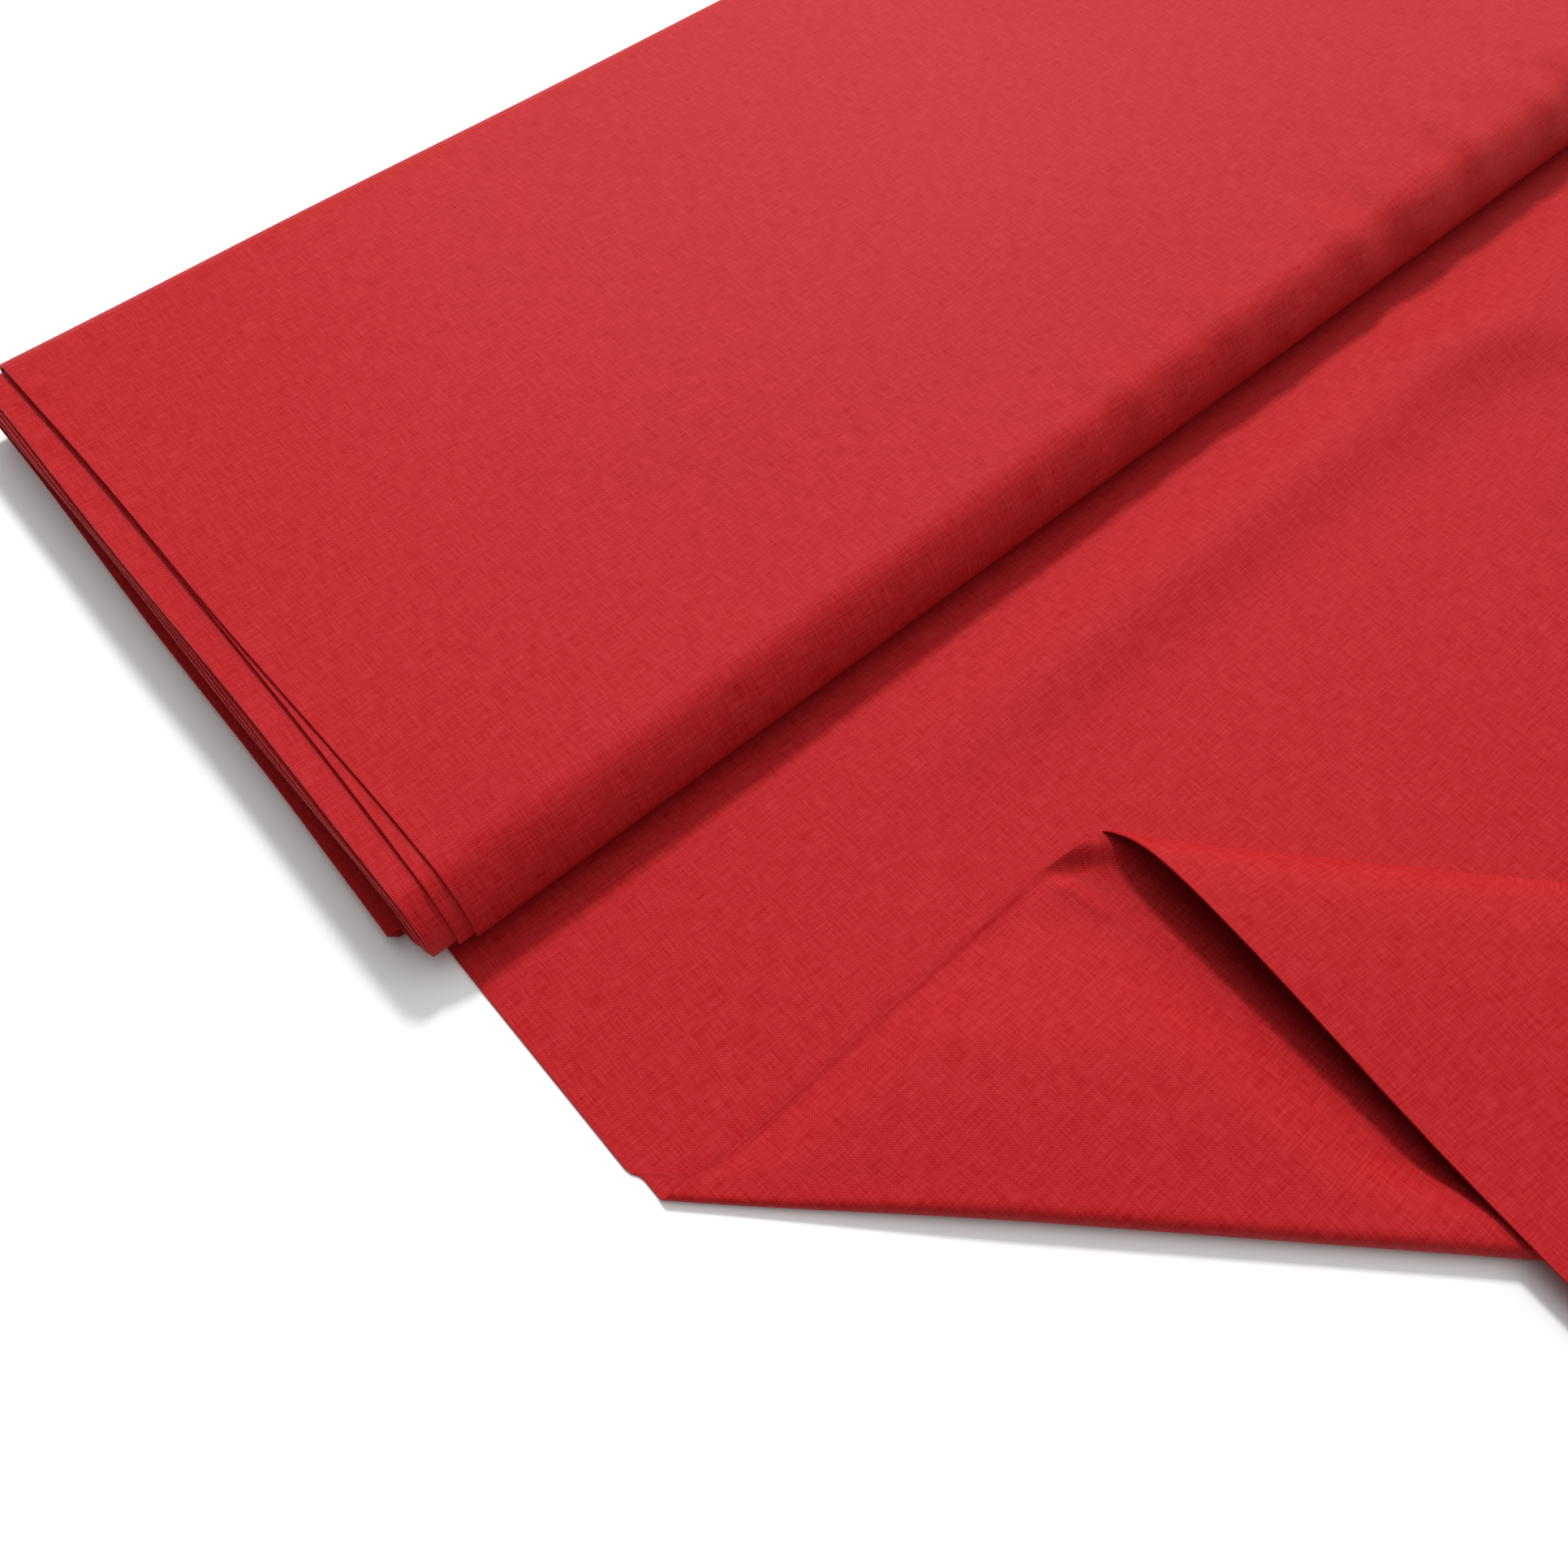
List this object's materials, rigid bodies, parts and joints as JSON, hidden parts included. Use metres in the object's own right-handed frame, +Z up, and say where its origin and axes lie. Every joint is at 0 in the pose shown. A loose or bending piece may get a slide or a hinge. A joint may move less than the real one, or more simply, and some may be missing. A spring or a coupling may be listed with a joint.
{
  "type": "fabric bolt",
  "caption": "Doubled cotton cloth wound flat on a folded corrugated board, with a length of it run off and pleated back at one corner.",
  "frame": {"origin": "middle of the whole object's footprint, on the table", "axes": "+X along the board, the far end of the cloth; +Y from the run-off cloth towards the bolt; +Z up"},
  "size_m": [0.5698, 0.52, 0.0202],
  "materials": {
    "cotton": "matte",
    "card": "matte"
  },
  "bodies": {
    "run_off": {"run_off_sheet": "cotton", "front_fold": "cotton"},
    "bolt": {"winding_turn_1": "cotton", "winding_turn_2": "cotton", "winding_turn_3": "cotton", "winding_turn_4": "cotton", "winding_turn_5": "cotton", "winding_turn_6": "cotton"},
    "board": {"board_top_outer_liner": "card", "board_top_fluting": "card", "board_top_inner_liner": "card", "board_bottom_inner_liner": "card", "board_bottom_fluting": "card", "board_bottom_outer_liner": "card", "board_front_edge_wall": "card", "board_back_edge_wall": "card", "board_rib_1": "card", "board_rib_2": "card", "board_rib_3": "card"},
    "pleat": {"pleat": "cotton", "back_fold": "cotton"},
    "top_leaf": {"top_leaf": "cotton"}
  },
  "joints": [
    {"name": "bolt_roll", "type": "hinge", "parent": "run_off", "child": "bolt", "pos_m": [0, 0.0597, 0.0006], "axis": [1, 0, 0], "range_deg": [0, 90]},
    {"name": "board_slide", "type": "slide", "parent": "bolt", "child": "board", "axis": [-1, 0, 0], "range_m": [0, 0.47]},
    {"name": "front_fold_open", "type": "hinge", "parent": "run_off", "child": "pleat", "pos_m": [-0.2752, -0.00591, 0.0022], "axis": [0.7193, -0.6947, 0], "range_deg": [0, 165], "deforming": ["front_fold"]},
    {"name": "back_fold_open", "type": "hinge", "parent": "pleat", "child": "top_leaf", "pos_m": [-0.16907, -0.01061, 0.00635], "axis": [-0.7193, 0.6947, 0], "range_deg": [0, 165], "deforming": ["back_fold"]}
  ],
  "couplings": [
    {"joint": "back_fold_open", "follows": "front_fold_open", "ratio": 1}
  ]
}
